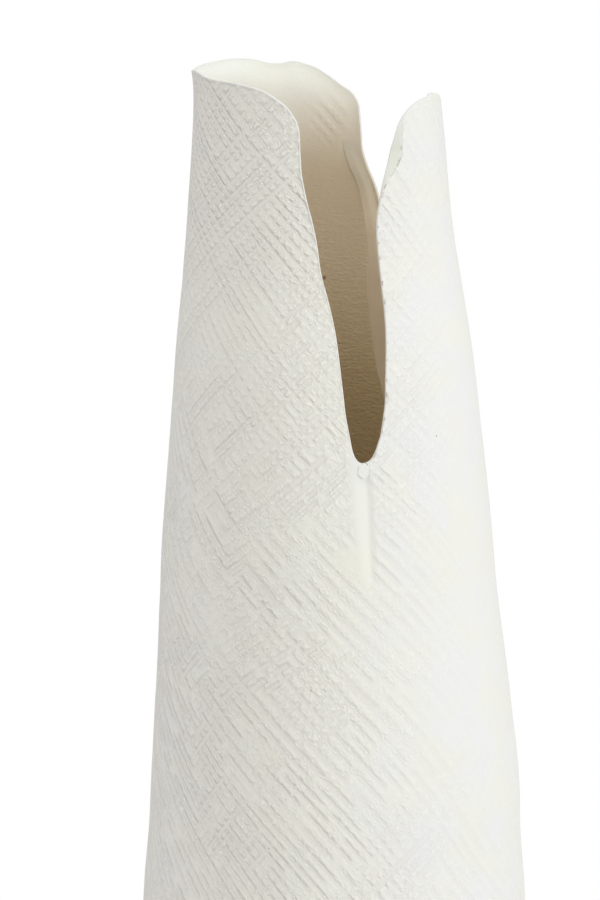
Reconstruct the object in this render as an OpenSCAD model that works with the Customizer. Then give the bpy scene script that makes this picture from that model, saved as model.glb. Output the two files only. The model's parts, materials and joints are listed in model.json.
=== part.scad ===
// Tall slab-built bisque vase: a leaning cone of one scored clay slab, open at the top, with a long
// slit down its front and a shorter notch down its back.
// Lengths are in millimetres. The origin is the middle of the plane that the felt pads stand on,
// +Z is up and the slit faces -Y. Azimuths are in degrees from the front, and grow towards +X.

/* [Wall] */
// Height of the wall, from its foot to the highest point of the rim
wall_h = 480; // [400:1:560]
// Outer diameter of the wall at its foot
foot_d = 178; // [150:1:200]
// Outer diameter of the wall at its mouth
mouth_d = 102.6; // [85:0.1:125]
// Thickness of the clay slab
wall_t = 3.5; // [2.5:0.1:5]
// Height of the rounding along the edge of the slab
edge_round = 1.4; // [0.8:0.1:2]
// Radius of the rounded heel
heel_r = 4; // [2:0.1:6]
// Sideways lean of the mouth, towards -X
lean = 8.3; // [0:0.1:14]
// Greatest dip of the uneven rim between its high side and the notch
rim_dip = 19; // [5:0.5:25]
// Outward curl of the rim on its high side
curl = 2.4; // [0:0.1:3]
// Height below the rim over which the curl dies out
curl_h = 9; // [5:0.5:20]

/* [Hand-made swell] */
// How far the right side swells out and draws in
right_swell = 1; // [0:0.1:1.5]
// How far the left side swells out and draws in
left_swell = 0.5; // [0:0.1:1.5]

/* [Slit and notch] */
// Depth of the front slit below the top of the rim
slit_depth = 157; // [110:1:180]
// Width of the front slit near its mouth
slit_w = 28; // [16:0.5:34]
// Azimuth of the slit's foot
slit_az = 12.8; // [0:0.1:20]
// Depth of the back notch below the top of the rim
notch_depth = 94; // [60:1:120]
// Width of the back notch near its mouth
notch_w = 33; // [20:0.5:40]
// Azimuth of the notch's foot, which lies on the back seam
notch_az = 146.5; // [140:0.5:155]

/* [Dart and pellet] */
// Length of the pinched dart below the slit
dart_len = 54; // [35:1:80]
// Depth of the dart's groove
dart_depth = 1.5; // [0.5:0.1:1.8]
// Half width of the groove at its upper end
dart_w = 4.2; // [3:0.1:6]
// Distance of the groove from the slit's foot, towards +X
dart_shift = 2.2; // [0:0.1:3]
// Width of the round clay pellet pressed in below the slit
pellet_w = 4.2; // [3:0.1:6]
// Height of the pellet
pellet_h = 5.8; // [4:0.1:7]
// Thickness of the pellet
pellet_t = 1; // [0.6:0.1:1.5]
// Clay left between the slit's foot and the pellet
pellet_drop = 0.5; // [0.3:0.1:3]
// Distance of the pellet from the slit's foot, towards +X
pellet_shift = 0.5; // [0:0.1:2]

/* [Seam and dart strips] */
// Thickness of the clay strips worked over the joins inside
strip_t = 2; // [1.5:0.1:3]
// Width of the strip over the back seam
strip_w = 18.5; // [12:0.5:24]
// Width of the strip behind the dart
dart_strip_w = 16; // [12:0.5:24]
// Depth of the outer groove along the back seam
seam_depth = 0.7; // [0:0.1:1.5]
// Half width of the groove along the back seam
seam_w = 5; // [3:0.1:8]

/* [Floor] */
// Thickness of the floor slab
floor_t = 7; // [5:0.5:12]
// Height of the clay coil worked into the corner of the floor
coil_h = 14; // [8:0.5:20]
// Width of that coil along the floor
coil_w = 12; // [8:0.5:20]
// Thickness left at the coil's thinned edges
coil_lip = 0.8; // [0.5:0.1:1.5]

/* [Pads] */
// Diameter of a felt pad
pad_d = 22; // [15:0.5:30]
// Thickness of a felt pad
pad_t = 2; // [1:0.1:4]
// Distance of a pad's middle from the vase's axis
pad_ring_r = 62; // [45:0.5:65]

/* [Hidden] */
$fn = 96;

// Slip between two joined pieces of clay
join_gap = 0.3;
foot_r = foot_d / 2;
mouth_r = mouth_d / 2;

// Turns an arc length at the mouth into degrees
function mouth_deg(len) = len / mouth_r * 180 / PI;
slit_deg = mouth_deg(slit_w);
notch_deg = mouth_deg(notch_w);
slit_foot_z = wall_h - slit_depth;
notch_foot_z = wall_h - notch_depth;

// The wall's outline: share of its height, share of the radius between mouth and foot, share of the lean
PROFILE_SHARES = [[0, 1, 0], [0.25, 0.86, 0.03], [0.5, 0.615, 0.28],
                  [0.65, 0.45, 0.5], [0.82, 0.205, 0.78], [1, 0, 1]];

// The slit's left edge from its foot up: share of the slit's width, share of its depth
SLIT_LEFT_SHARES = [[0, 1], [-0.06, 0.99], [-0.1, 0.968], [-0.13, 0.925], [-0.165, 0.87],
                    [-0.182, 0.82], [-0.2, 0.77], [-0.22, 0.715], [-0.245, 0.66], [-0.285, 0.61],
                    [-0.33, 0.565], [-0.38, 0.525], [-0.42, 0.485], [-0.445, 0.44], [-0.475, 0.4],
                    [-0.525, 0.355], [-0.585, 0.31], [-0.655, 0.24], [-0.67, 0.19], [-0.7, 0.135],
                    [-0.79, 0.09], [-0.97, 0.055]];
// The rim from the slit round the left side to the notch: azimuth, share of the rim's dip
RIM_DIP_SHARES = [[-27, 0.25], [-38, 0.16], [-47, 0.16], [-56, 0.18], [-64, 0.16], [-72, 0.13],
                  [-81, 0.15], [-90, 0.15], [-100, 0.07], [-112, 0], [-123, 0.08], [-132, 0.12],
                  [-140, 0.13], [-148, 0.2], [-155, 0.28], [-166, 0.28], [-174, 0.34],
                  [-180, 0.45], [-186, 0.63], [-192, 0.84], [-197, 1]];
// The notch from its left edge down to its foot and up again: share of its width, share of its depth
NOTCH_SHARES = [[0.37, 0.25], [0.355, 0.31], [0.347, 0.395], [0.34, 0.47], [0.27, 0.56],
                [0.176, 0.65], [0.11, 0.785], [0.06, 0.905], [0.02, 0.985], [-0.02, 0.985],
                [-0.068, 0.955], [-0.136, 0.87], [-0.217, 0.745], [-0.34, 0.585], [-0.53, 0.425],
                [-0.77, 0.31]];
// The top of the petal between notch and slit: azimuth, share of the rim's dip
PETAL_DIP_SHARES = [[-256, 1.1], [-263, 0.93], [-270, 0.72], [-276, 0.56], [-280, 0.5],
                    [-287, 0.49], [-294.5, 0.51], [-299, 0.53], [-303.3, 0.555], [-307, 0.625],
                    [-310.4, 0.695], [-313.5, 0.765], [-316.7, 0.925], [-319.7, 1.085]];
// The slit's right edge from the petal down to its foot: share of the slit's width, share of its depth
SLIT_RIGHT_SHARES = [[0.83, 0.155], [0.755, 0.187], [0.685, 0.218], [0.595, 0.264], [0.545, 0.29],
                     [0.475, 0.34], [0.445, 0.395], [0.435, 0.45], [0.445, 0.525], [0.455, 0.605],
                     [0.445, 0.66], [0.42, 0.71], [0.395, 0.79], [0.36, 0.845], [0.29, 0.922],
                     [0.24, 0.948], [0.165, 0.977], [0.09, 0.995]];

full_turn = 360;
// The whole rim as azimuth and height above the wall's foot, once round towards -X
RIM = concat(
    [for (p = SLIT_LEFT_SHARES) [slit_az + p[0] * slit_deg, wall_h - p[1] * slit_depth]],
    [for (p = RIM_DIP_SHARES) [p[0], wall_h - p[1] * rim_dip]],
    [for (p = NOTCH_SHARES) [notch_az - full_turn + p[0] * notch_deg, wall_h - p[1] * notch_depth]],
    [for (p = PETAL_DIP_SHARES) [p[0], wall_h - p[1] * rim_dip]],
    [for (p = SLIT_RIGHT_SHARES) [slit_az - full_turn + p[0] * slit_deg, wall_h - p[1] * slit_depth]]
);
columns = len(RIM);

// How many rows of facets the outside and the inside of the wall have, and the edge between them
outer_rows = 28;
inner_rows = 25;
edge_rows = 3;
heel_rows = 3;

function unit(v) = v / norm(v);
function mix(a, b, t) = a + (b - a) * t;
// Rises smoothly from 0 to 1 as t goes from 0 to 1
function ease(t) = t <= 0 ? 0 : t >= 1 ? 1 : t * t * (3 - 2 * t);
function bell(d, w) = exp(-pow(d / w, 2));

// Slope of column c of a table at row i, from its neighbours
function slope(rows, i, c) =
    let (a = max(i - 1, 0), b = min(i + 1, len(rows) - 1))
    (rows[b][c] - rows[a][c]) / (rows[b][0] - rows[a][0]);
// Smooth curve through column c of a table whose column 0 rises from row to row
function span_at(rows, t, i = 0) = i >= len(rows) - 2 || t < rows[i + 1][0] ? i : span_at(rows, t, i + 1);
function along(rows, t, c) =
    let (i = span_at(rows, t), w = rows[i + 1][0] - rows[i][0], u = (t - rows[i][0]) / w)
    (2 * u * u * u - 3 * u * u + 1) * rows[i][c] + (u * u * u - 2 * u * u + u) * w * slope(rows, i, c)
    + (3 * u * u - 2 * u * u * u) * rows[i + 1][c] + (u * u * u - u * u) * w * slope(rows, i + 1, c);

// Signed arc length between two azimuths on the wall's plain cone
function cone_r(z) = mix(mouth_r, foot_r, along(PROFILE_SHARES, z / wall_h, 1));
function arc_from(az, az0, z) =
    let (d = (az - az0) - full_turn * round((az - az0) / full_turn)) d * PI / 180 * cone_r(z);

// The swellings of the two sides: share of the wall's height, share of that side's swell
RIGHT_SWELL_SHARES = [[0, 0], [0.24, -0.3], [0.3, -0.1], [0.355, 1.2], [0.41, 0.7], [0.47, 0.1],
                      [0.53, -0.85], [0.59, -0.3], [0.66, 0.1], [0.75, 0.95], [0.81, 0.3],
                      [0.865, -0.65], [0.93, -0.3], [1, -0.1]];
LEFT_SWELL_SHARES = [[0, 0], [0.24, 0.6], [0.3, -1.2], [0.36, -0.8], [0.45, -0.5], [0.52, 0.6],
                     [0.58, 1.1], [0.64, 0.1], [0.69, 0], [0.75, 1], [0.81, 0], [0.95, -0.6], [1, 0]];
function swell(az, z) =
    right_swell * (1 + sin(az)) / 2 * along(RIGHT_SWELL_SHARES, z / wall_h, 1)
    + left_swell * (1 - sin(az)) / 2 * along(LEFT_SWELL_SHARES, z / wall_h, 1);

// Outward curl of the rim, on the side opposite the petal only
function rim_curl(az, z) = curl * pow(max(0, -sin(az)), 2) * exp((z - wall_h) / curl_h);

// Groove of the pinched dart: full depth at the slit's foot, narrowing and fading downwards.
// Shares of its width left at its foot, and of its length over which it moves sideways
dart_foot_share = 0.45;
dart_turn_share = 0.25;
function dart_groove(az, z) =
    let (t = (slit_foot_z - z) / dart_len, w = dart_w * mix(1, dart_foot_share, ease(t)))
    dart_depth * bell(arc_from(az, slit_az, z) - dart_shift * ease(t / dart_turn_share), w)
    * (1 - ease(t)) * ease(1 + (slit_foot_z + pellet_h - z) / pellet_h);

// Shallow groove wiped along the back seam
function seam_groove(az, z) = seam_depth * bell(arc_from(az, notch_az, z), seam_w);

function grooves(az, z) = dart_groove(az, z) + seam_groove(az, z);
// Radius of the slab's outer face before the grooves are pressed into it
function face_r(az, z) = cone_r(z) + swell(az, z) + rim_curl(az, z);

// Point of the wall at an azimuth and height, a distance inwards from the face
function wall_point(az, z, inset) =
    let (r = face_r(az, z) - inset, shift = -lean * along(PROFILE_SHARES, z / wall_h, 2))
    [shift + r * sin(az), -r * cos(az), pad_t + z];

// Way round the rim from the slit's foot, as a share of its whole length
RIM_POINTS = [for (p = RIM) wall_point(p[0], p[1], (wall_t + grooves(p[0], p[1])) / 2)];
RIM_RUN = [for (i = 0, s = 0; i <= columns;
                s = s + norm(RIM_POINTS[(i + 1) % columns] - RIM_POINTS[i % columns]), i = i + 1) s];

// A column leaves the foot at an even spacing and bends towards its own point of the rim
function column_az(i, z) =
    let (foot_az = slit_az - full_turn * RIM_RUN[i] / RIM_RUN[columns])
    mix(foot_az, RIM[i][0], pow(z / RIM[i][1], 2));

// Direction out of the slab's edge, square to the rim and to the radius
function edge_out(i) =
    let (along_rim = unit(RIM_POINTS[(i + 1) % columns] - RIM_POINTS[(i + columns - 1) % columns]))
    unit(cross(along_rim, [sin(RIM[i][0]), -cos(RIM[i][0]), 0]));

// Point j of the half round between the two faces, from the outer face to the inner one
function edge_point(i, j) =
    let (turn = 180 * j / edge_rows, side = [sin(RIM[i][0]), -cos(RIM[i][0]), 0],
         half_t = (wall_t - grooves(RIM[i][0], RIM[i][1])) / 2)
    RIM_POINTS[i] + side * half_t * cos(turn) + edge_out(i) * edge_round * (sin(turn) - 1);

// Height of row j of a face, evenly spread from z0 to just below the edge
function row_z(i, j, rows, z0) = mix(z0, RIM[i][1], j / rows);

// One closed section of the slab: heel, outer face, rounded edge and inner face
function wall_section(i) = concat(
    [for (j = [0 : heel_rows - 1])
        let (turn = 90 * j / heel_rows, z = heel_r * (1 - cos(turn)), az = column_az(i, z))
        wall_point(az, z, grooves(az, z) + min(heel_r, wall_t) / 2 * (1 - sin(turn)))],
    [for (j = [0 : outer_rows - 1])
        let (z = row_z(i, j, outer_rows, heel_r), az = column_az(i, z))
        wall_point(az, z, grooves(az, z))],
    [for (j = [0 : edge_rows]) edge_point(i, j)],
    [for (j = [inner_rows - 1 : -1 : 0])
        let (z = row_z(i, j, inner_rows, 0)) wall_point(column_az(i, z), z, wall_t)]
);

// Joins rings of points into a closed skin, with flat ends or with the last ring joined to the first
module skin(rings, ends = true) {
    n = len(rings[0]);
    count = len(rings);
    last = ends ? count - 2 : count - 1;
    sides = [for (k = [0 : last], j = [0 : n - 1])
        let (a = k * n + j, b = k * n + (j + 1) % n,
             c = ((k + 1) % count) * n + j, d = ((k + 1) % count) * n + (j + 1) % n)
        each [[a, b, c], [b, d, c]]];
    start = [for (j = [1 : n - 2]) [0, j + 1, j]];
    end = [for (j = [1 : n - 2]) [(count - 1) * n, (count - 1) * n + j, (count - 1) * n + j + 1]];
    polyhedron([for (r = rings) each r], ends ? concat(sides, start, end) : sides);
}

module wall_slab() {
    color("ivory") skin([for (i = [0 : columns - 1]) wall_section(i)], ends = false);
}

// Radius inside the slab, clear of the slip
function inside_r(z) = cone_r(z) - wall_t - join_gap;

module floor_slab() {
    color("linen") translate([0, 0, pad_t])
        cylinder(h = floor_t, r1 = inside_r(0), r2 = inside_r(floor_t));
}

module floor_coil() {
    arc_steps = 8;
    z0 = floor_t + join_gap;
    r0 = inside_r(z0);
    r1 = inside_r(z0 + coil_h);
    hollow = [for (j = [0 : arc_steps])
        let (turn = 90 * j / arc_steps)
        [r1 - coil_lip - (coil_w - coil_lip) * (1 - cos(turn)),
         z0 + coil_h - (coil_h - coil_lip) * sin(turn)]];
    color("antiquewhite") translate([0, 0, pad_t]) rotate_extrude()
        polygon(concat([[r1 - coil_w, z0], [r0, z0], [r1, z0 + coil_h]], hollow));
}

// Inner strips: one ring of points across the strip, its back along the wall and its face crowned
strip_steps = 4;
edge_share = 0.2;
function strip_ring(az0, az1, z, thick) = concat(
    [for (j = [0 : strip_steps]) wall_point(mix(az0, az1, j / strip_steps), z, wall_t + join_gap)],
    [for (j = [strip_steps : -1 : 0])
        let (u = 2 * j / strip_steps - 1)
        wall_point(mix(az0, az1, j / strip_steps), z,
                   wall_t + join_gap + thick * mix(edge_share, 1, 1 - u * u * u * u))]
);

// The back strip's sides: share of the height between floor coil and rim's dip, right side, left side,
// both as shares of the strip's width from the seam
STRIP_SHARES = [[0, -0.3, 0.62], [0.4, -0.32, 0.6], [0.62, -0.3, 0.56], [0.68, -0.3, 0.59],
                [0.715, -0.31, 0.74], [0.745, -0.3, 0.79], [0.78, -0.25, 0.8], [0.805, -0.1, 0.77],
                [0.822, 0.05, 0.72], [0.85, 0.17, 0.67], [0.875, 0.26, 0.69], [0.904, 0.385, 0.77],
                [0.916, 0.48, 0.83], [0.927, 0.585, 0.94], [0.942, 0.685, 0.98], [0.96, 0.695, 1.02],
                [0.977, 0.71, 1.06], [1, 0.74, 1.12]];
function strip_deg(z) = strip_w / cone_r(z) * 180 / PI;

module back_seam_strip() {
    strip_rows = 60;
    z0 = floor_t + join_gap + coil_h + join_gap;
    z1 = wall_h - rim_dip;
    color("wheat") skin([for (k = [0 : strip_rows])
        let (t = k / strip_rows, z = mix(z0, z1, t))
        strip_ring(notch_az + along(STRIP_SHARES, t, 1) * strip_deg(z),
                   notch_az + along(STRIP_SHARES, t, 2) * strip_deg(z), z, strip_t)]);
}

module dart_strip() {
    strip_rows = 6;
    z1 = slit_foot_z - 2 * edge_round - join_gap;
    z0 = z1 - dart_len;
    color("wheat") skin([for (k = [0 : strip_rows])
        let (z = mix(z0, z1, k / strip_rows), half = dart_strip_w / 2 / cone_r(z) * 180 / PI,
             end_share = 1 - pow(2 * k / strip_rows - 1, 4) / 2)
        strip_ring(slit_az - half * end_share, slit_az + half * end_share, z, strip_t * end_share)]);
}

// Oval button with a flat back and a rounded face, seated in the head of the dart's groove.
// Shares of its thickness that stand straight up, and of its size left flat on its face
pellet_steps = 24;
pellet_rings = 4;
pellet_side_share = 0.5;
pellet_flat_share = 0.5;
function pellet_ring(size_share, lift) = [for (j = [0 : pellet_steps - 1])
    let (turn = full_turn * j / pellet_steps)
    [pellet_w / 2 * size_share * cos(turn), pellet_h / 2 * size_share * sin(turn), lift]];

module slit_pellet() {
    z = slit_foot_z - pellet_drop - pellet_h / 2;
    half_w_deg = pellet_w / 2 / cone_r(z) * 180 / PI;
    az = slit_az + pellet_shift / cone_r(z) * 180 / PI;
    back_r = max([for (side = [-1, 1])
        let (a = az + side * half_w_deg) face_r(a, z) - grooves(a, z)]) + join_gap;
    axis_x = -lean * along(PROFILE_SHARES, z / wall_h, 2);
    fall = atan2(cone_r(z - pellet_h / 2) - cone_r(z + pellet_h / 2), pellet_h);
    face_rings = [for (k = [1 : pellet_rings])
        let (turn = 90 * k / pellet_rings)
        pellet_ring(mix(pellet_flat_share, 1, cos(turn)), pellet_t * mix(pellet_side_share, 1, sin(turn)))];
    side_rings = [pellet_ring(1, 0), pellet_ring(1, pellet_t * pellet_side_share)];
    color("ivory") translate([axis_x, 0, pad_t + z]) rotate([0, 0, az])
        translate([0, -back_r, 0]) rotate([90 - fall, 0, 0])
        skin(concat(side_rings, face_rings));
}

pads = 4;
module foot_pad(k) {
    color("dimgray") rotate([0, 0, (k - 0.5) * full_turn / pads]) translate([pad_ring_r, 0, 0])
        cylinder(h = pad_t, d = pad_d);
}

wall_slab();
floor_slab();
floor_coil();
back_seam_strip();
dart_strip();
slit_pellet();
foot_pad(1);  // foot_pad_1
foot_pad(2);  // foot_pad_2
foot_pad(3);  // foot_pad_3
foot_pad(4);  // foot_pad_4
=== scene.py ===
# %% [markdown]
# A tall vase of white bisque clay. The maker rolled out one slab, scored both ways across with a coarse
# comb, rolled it up into a narrow leaning cone and joined it down the back. The front was cut open
# into a long slit, the clay below it was pinched into a dart with a round pellet pressed over its head,
# and a shorter notch was cut down the back seam. Inside, strips of clay were worked over the joins.
#
# The sizes are fixed before the looks: the frame holds each piece at its real size, and what is made
# here replaces a piece of the frame in the same place, with a finer surface. All lengths are in metres.

# %% Load the frame
import json
import math
import bpy
import numpy as np
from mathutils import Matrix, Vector

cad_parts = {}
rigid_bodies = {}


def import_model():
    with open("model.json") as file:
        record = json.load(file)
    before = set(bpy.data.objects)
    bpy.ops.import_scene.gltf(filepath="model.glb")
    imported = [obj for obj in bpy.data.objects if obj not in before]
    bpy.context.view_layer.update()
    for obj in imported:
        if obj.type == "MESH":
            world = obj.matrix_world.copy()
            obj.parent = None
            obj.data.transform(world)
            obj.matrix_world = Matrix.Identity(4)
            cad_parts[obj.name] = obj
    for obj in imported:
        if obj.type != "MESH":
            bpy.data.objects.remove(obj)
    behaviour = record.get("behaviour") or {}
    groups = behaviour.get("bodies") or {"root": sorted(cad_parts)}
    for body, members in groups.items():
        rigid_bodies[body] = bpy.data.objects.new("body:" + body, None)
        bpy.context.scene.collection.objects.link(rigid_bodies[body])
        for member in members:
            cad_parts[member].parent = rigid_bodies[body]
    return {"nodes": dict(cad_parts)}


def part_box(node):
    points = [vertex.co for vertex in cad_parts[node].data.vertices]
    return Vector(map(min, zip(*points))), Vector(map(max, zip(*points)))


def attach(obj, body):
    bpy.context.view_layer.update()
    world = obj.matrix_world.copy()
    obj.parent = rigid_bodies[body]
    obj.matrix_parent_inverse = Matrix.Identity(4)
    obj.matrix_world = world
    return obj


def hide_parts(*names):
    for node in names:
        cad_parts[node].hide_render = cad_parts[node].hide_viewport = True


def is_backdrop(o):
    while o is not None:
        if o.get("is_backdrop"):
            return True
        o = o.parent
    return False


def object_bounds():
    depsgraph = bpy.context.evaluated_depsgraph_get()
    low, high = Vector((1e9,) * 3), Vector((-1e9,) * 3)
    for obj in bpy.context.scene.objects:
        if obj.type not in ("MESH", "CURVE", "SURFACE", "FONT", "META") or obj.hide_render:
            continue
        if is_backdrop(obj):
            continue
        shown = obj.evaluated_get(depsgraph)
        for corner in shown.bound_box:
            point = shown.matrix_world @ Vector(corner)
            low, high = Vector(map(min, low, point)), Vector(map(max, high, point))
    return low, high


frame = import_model()
cad_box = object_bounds()
print("pieces in the frame:", ", ".join(sorted(frame["nodes"])))

# %% [markdown]
# The wall is a leaning cone, so a few sizes say most of it. The height, the foot and the thickness of
# the pads under it are read from the frame, so that the finer wall can't drift away from the fixed one.
# The other sizes are what the maker's tools and hands give.

# %% Sizes of the wall
MM = 0.001
wall_low, wall_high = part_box("wall_slab")
FOOT_Z = wall_low.z
WALL_H = wall_high.z - wall_low.z
FOOT_R = (wall_high.x - wall_low.x) / 2
MOUTH_R = 51.3 * MM
WALL_T = 3.5 * MM
LEAN = 8.3 * MM
HEEL_R = 4 * MM
print(f"wall {WALL_H / MM:.1f} mm high, foot radius {FOOT_R / MM:.1f} mm, pads {FOOT_Z / MM:.1f} mm")

# %% [markdown]
# Hand-made outlines are easiest to write as short tables of shares, with a smooth curve drawn through
# them. The curve here is a cubic between each two rows, whose slope at a row comes from the rows beside
# it. It passes through every row, so each number can be checked by eye.

# %% Curves through tables
def mix(a, b, t):
    """Value a share t of the way from a to b."""
    return a + (b - a) * t


def ease(t):
    """Rises from 0 to 1 as t goes from 0 to 1, flat at both ends: 3 t squared less 2 t cubed."""
    t = np.clip(t, 0, 1)
    return t * t * (3 - 2 * t)


def bell(distance, width):
    """Bell curve: e to the power of minus the square of distance over width."""
    return np.exp(-(distance / width) ** 2)


def along(table, t, column=1):
    """Cubic through one column of a table at places t of its first column, slopes from the rows beside."""
    rows = np.asarray(table, float)
    x, y = rows[:, 0], rows[:, column]
    before = np.maximum(np.arange(len(x)) - 1, 0)
    after = np.minimum(np.arange(len(x)) + 1, len(x) - 1)
    slope = (y[after] - y[before]) / (x[after] - x[before])
    i = np.clip(np.searchsorted(x, t, side="right") - 1, 0, len(x) - 2)
    width = x[i + 1] - x[i]
    u = (t - x[i]) / width
    start = (2 * u**3 - 3 * u**2 + 1) * y[i] + (u**3 - 2 * u**2 + u) * width * slope[i]
    end = (3 * u**2 - 2 * u**3) * y[i + 1] + (u**3 - u**2) * width * slope[i + 1]
    return start + end


def ripple(points, wavelength, seed, waves=14):
    """Uneven swell between about -1 and 1: the mean of plane waves in directions drawn from a seed."""
    draw = np.random.default_rng(seed)
    turn = draw.normal(size=(waves, 3))
    turn /= np.linalg.norm(turn, axis=1)[:, None]
    length = wavelength * draw.uniform(0.7, 1.5, waves)
    phase = draw.uniform(0, 2 * math.pi, waves)
    waves_at = np.sin(points @ (turn * (2 * math.pi / length)[:, None]).T + phase)
    return waves_at.mean(-1) * math.sqrt(waves) / 2


# %% [markdown]
# Every point of the wall is an azimuth, a height and a depth below the outer face. The azimuth is 0 at
# the front and grows to the right. The radius at a height comes from the outline, with a little
# swelling on each side where the hands pressed the clay, and the rim curls outwards on the left.

# %% The wall's face
# Share of the height, share of the radius between mouth and foot, share of the lean
PROFILE = [(0, 1, 0), (0.25, 0.86, 0.03), (0.5, 0.615, 0.28), (0.65, 0.45, 0.5), (0.82, 0.205, 0.78),
           (1, 0, 1)]
# Share of the height, share of that side's swell
RIGHT_SWELL_SHARES = [(0, 0), (0.24, -0.3), (0.3, -0.1), (0.355, 1.2), (0.41, 0.7), (0.47, 0.1),
                      (0.53, -0.85), (0.59, -0.3), (0.66, 0.1), (0.75, 0.95), (0.81, 0.3),
                      (0.865, -0.65), (0.93, -0.3), (1, -0.1)]
LEFT_SWELL_SHARES = [(0, 0), (0.24, 0.6), (0.3, -1.2), (0.36, -0.8), (0.45, -0.5), (0.52, 0.6),
                     (0.58, 1.1), (0.64, 0.1), (0.69, 0), (0.75, 1), (0.81, 0), (0.95, -0.6), (1, 0)]
RIGHT_SWELL = 1.0 * MM
LEFT_SWELL = 0.5 * MM
CURL = 2.4 * MM
CURL_H = 9 * MM


def cone_r(z):
    """Radius of the plain cone at a height above the wall's foot."""
    return mix(MOUTH_R, FOOT_R, along(PROFILE, z / WALL_H, 1))


def axis_x(z):
    """The axis moves to the left as it rises, by the lean's share at that height."""
    return -LEAN * along(PROFILE, z / WALL_H, 2)


def face_r(az, z):
    """Radius of the outer face: cone, plus each side's swell faded by the sine, plus the rim's curl."""
    right = RIGHT_SWELL * (1 + np.sin(az)) / 2 * along(RIGHT_SWELL_SHARES, z / WALL_H)
    left = LEFT_SWELL * (1 - np.sin(az)) / 2 * along(LEFT_SWELL_SHARES, z / WALL_H)
    curl = CURL * np.maximum(0, -np.sin(az)) ** 2 * np.exp((z - WALL_H) / CURL_H)
    return cone_r(z) + right + left + curl


def wall_point(az, z, inset):
    """Point at an azimuth, a height above the foot and a depth below the outer face."""
    r = face_r(az, z) - inset
    return np.stack([axis_x(z) + r * np.sin(az), -r * np.cos(az), FOOT_Z + z], -1)


# %% [markdown]
# The rim is one closed line: from the slit's foot up its left edge, round the left side, down into the
# notch at the back, over the petal on the right, and down the slit's right edge. Each stretch has its
# own table, as shares of the slit's or the notch's width and depth, so both can be resized.

# %% The rim
SLIT_DEPTH = 157 * MM
SLIT_TURN = 28 * MM / MOUTH_R
SLIT_AZ = math.radians(12.8)
NOTCH_DEPTH = 94 * MM
NOTCH_TURN = 33 * MM / MOUTH_R
NOTCH_AZ = math.radians(146.5)
RIM_DIP = 19 * MM
# Share of the slit's width, share of its depth, from the foot up
SLIT_LEFT_SHARES = [(0, 1), (-0.06, 0.99), (-0.1, 0.968), (-0.13, 0.925), (-0.165, 0.87),
                    (-0.182, 0.82), (-0.2, 0.77), (-0.22, 0.715), (-0.245, 0.66), (-0.285, 0.61),
                    (-0.33, 0.565), (-0.38, 0.525), (-0.42, 0.485), (-0.445, 0.44), (-0.475, 0.4),
                    (-0.525, 0.355), (-0.585, 0.31), (-0.655, 0.24), (-0.672, 0.19), (-0.695, 0.118),
                    (-0.795, 0.08), (-0.95, 0.052)]
# Azimuth in degrees, share of the rim's dip
RIM_DIP_SHARES = [(-26.5, 0.19), (-37, 0.1), (-48, 0.07), (-55, 0.075), (-62, 0.06), (-69, 0.015),
                  (-76, 0.003), (-83, 0.05), (-91, 0.11), (-100, 0.13), (-110, 0.12), (-121, 0.12),
                  (-131, 0.12), (-140, 0.14), (-148, 0.19), (-155, 0.29), (-162, 0.32), (-168, 0.28),
                  (-174, 0.34), (-180, 0.45), (-186, 0.63), (-192, 0.84), (-197, 1)]
# Share of the notch's width, share of its depth, down from its left edge and up again
NOTCH_SHARES = [(0.37, 0.25), (0.355, 0.31), (0.347, 0.395), (0.34, 0.47), (0.27, 0.56), (0.176, 0.65),
                (0.11, 0.785), (0.06, 0.905), (0.02, 0.985), (-0.02, 0.985), (-0.068, 0.955),
                (-0.136, 0.87), (-0.217, 0.745), (-0.34, 0.585), (-0.53, 0.425), (-0.77, 0.31)]
# Azimuth in degrees, share of the rim's dip
PETAL_DIP_SHARES = [(-256, 1.1), (-263, 0.93), (-270, 0.75), (-276, 0.62), (-281, 0.54), (-286, 0.485),
                    (-291, 0.455), (-294.2, 0.455), (-296.3, 0.505), (-303.5, 0.53), (-309, 0.6),
                    (-313, 0.685), (-316, 0.785), (-317.9, 0.88), (-319.6, 0.99)]
# Share of the slit's width, share of its depth, down to the foot
SLIT_RIGHT_SHARES = [(0.825, 0.142), (0.762, 0.17), (0.702, 0.198), (0.64, 0.224), (0.528, 0.27),
                     (0.457, 0.317), (0.396, 0.37), (0.386, 0.43), (0.4, 0.523), (0.414, 0.605),
                     (0.411, 0.657), (0.391, 0.71), (0.352, 0.79), (0.328, 0.845), (0.254, 0.922),
                     (0.213, 0.948), (0.156, 0.977), (0.088, 0.995)]
TURN = 2 * math.pi
DEGREE = math.radians(1)
# Each stretch's table, its first azimuth, the azimuth's unit, the depth's unit, and the steps from one
# row to the next, which are more where the edge is seen close
STRETCHES = [(SLIT_LEFT_SHARES, SLIT_AZ, SLIT_TURN, SLIT_DEPTH, 5),
             (RIM_DIP_SHARES, 0, DEGREE, RIM_DIP, 4),
             (NOTCH_SHARES, NOTCH_AZ - TURN, NOTCH_TURN, NOTCH_DEPTH, 3),
             (PETAL_DIP_SHARES, 0, DEGREE, RIM_DIP, 6),
             (SLIT_RIGHT_SHARES, SLIT_AZ - TURN, SLIT_TURN, SLIT_DEPTH, 6)]


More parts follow.
